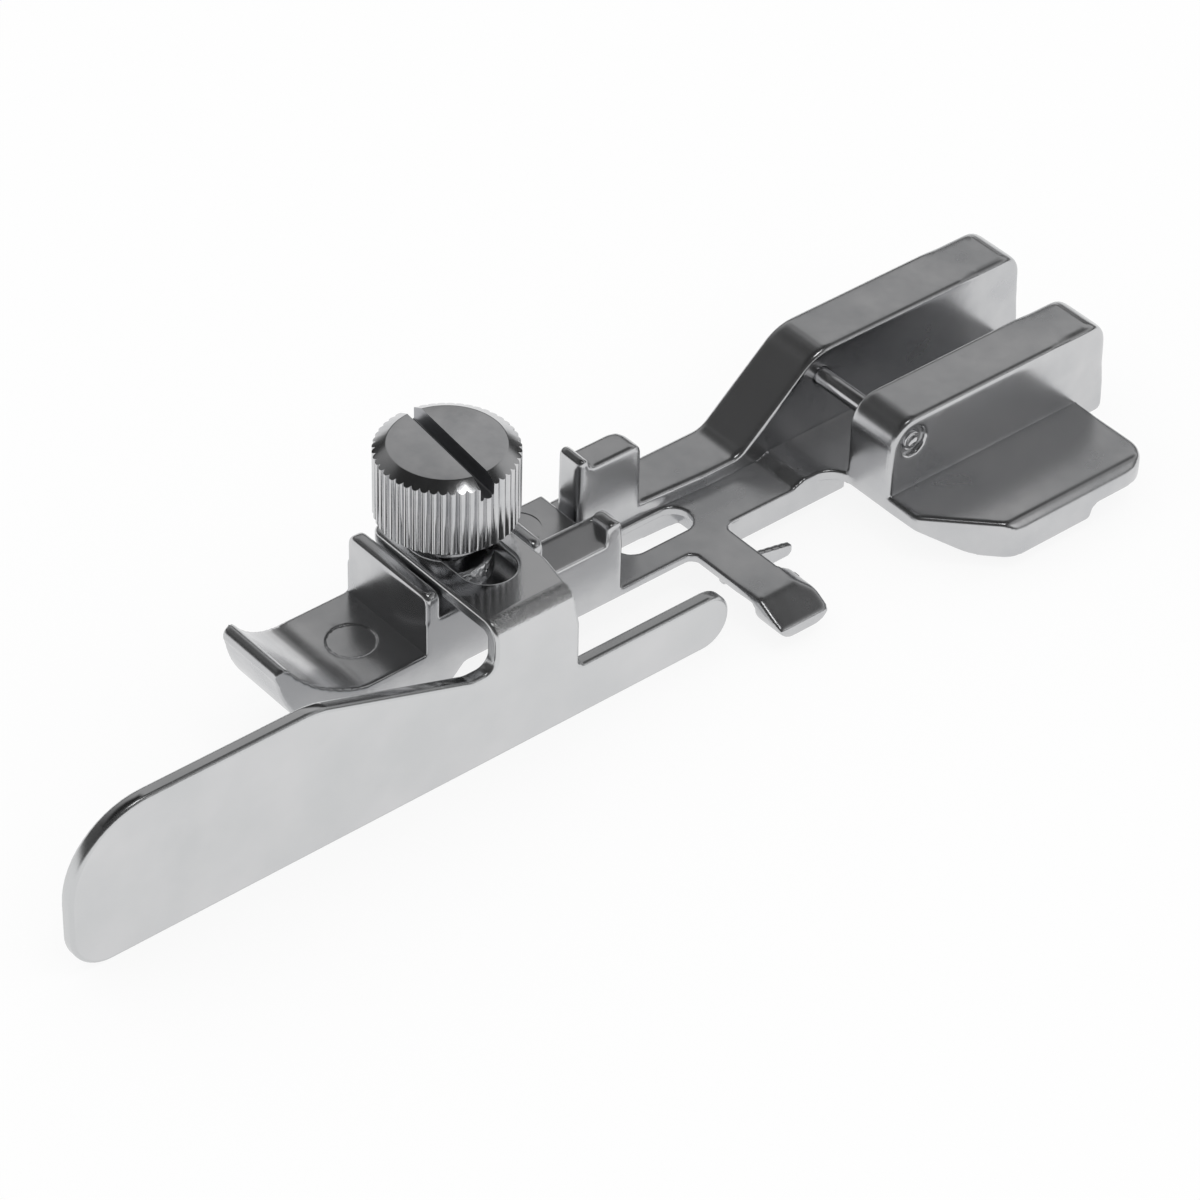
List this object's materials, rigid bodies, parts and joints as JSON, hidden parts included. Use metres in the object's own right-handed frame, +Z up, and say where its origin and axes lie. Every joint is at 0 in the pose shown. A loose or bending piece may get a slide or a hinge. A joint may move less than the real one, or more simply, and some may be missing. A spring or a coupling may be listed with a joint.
{
  "type": "sewing machine presser foot",
  "caption": "Clip-on blind hem presser foot for an overlock machine, with a sliding edge guide clamped by a knurled thumb screw.",
  "frame": {"origin": "centre of the bounding box, at its bottom; the guide's lower edge is at Z = 0 and the foot's sole 0.8 mm above it", "axes": "+Y points to the rear, away from the toe; +X to the operator's right; +Z up, away from the fabric"},
  "size_m": [0.0198, 0.0828, 0.0169],
  "materials": {
    "plated_casting": "satin",
    "plated_sheet": "polished",
    "plated_screw": "polished",
    "pin_steel": "ground"
  },
  "bodies": {
    "foot": {"foot_body": "plated_casting", "snap_pin": "pin_steel"},
    "guide": {"edge_guide": "plated_sheet"},
    "screw": {"thumb_screw": "plated_screw"}
  },
  "joints": [
    {"name": "guide_slide", "type": "slide", "parent": "foot", "child": "guide", "axis": [1, 0, 0], "range_m": [-0.0039, 0]},
    {"name": "screw_turn", "type": "hinge", "parent": "foot", "child": "screw", "pos_m": [-0.00525, -0.0072, 0.0097], "axis": [0, 0, 1], "range_deg": [0, 360]}
  ]
}
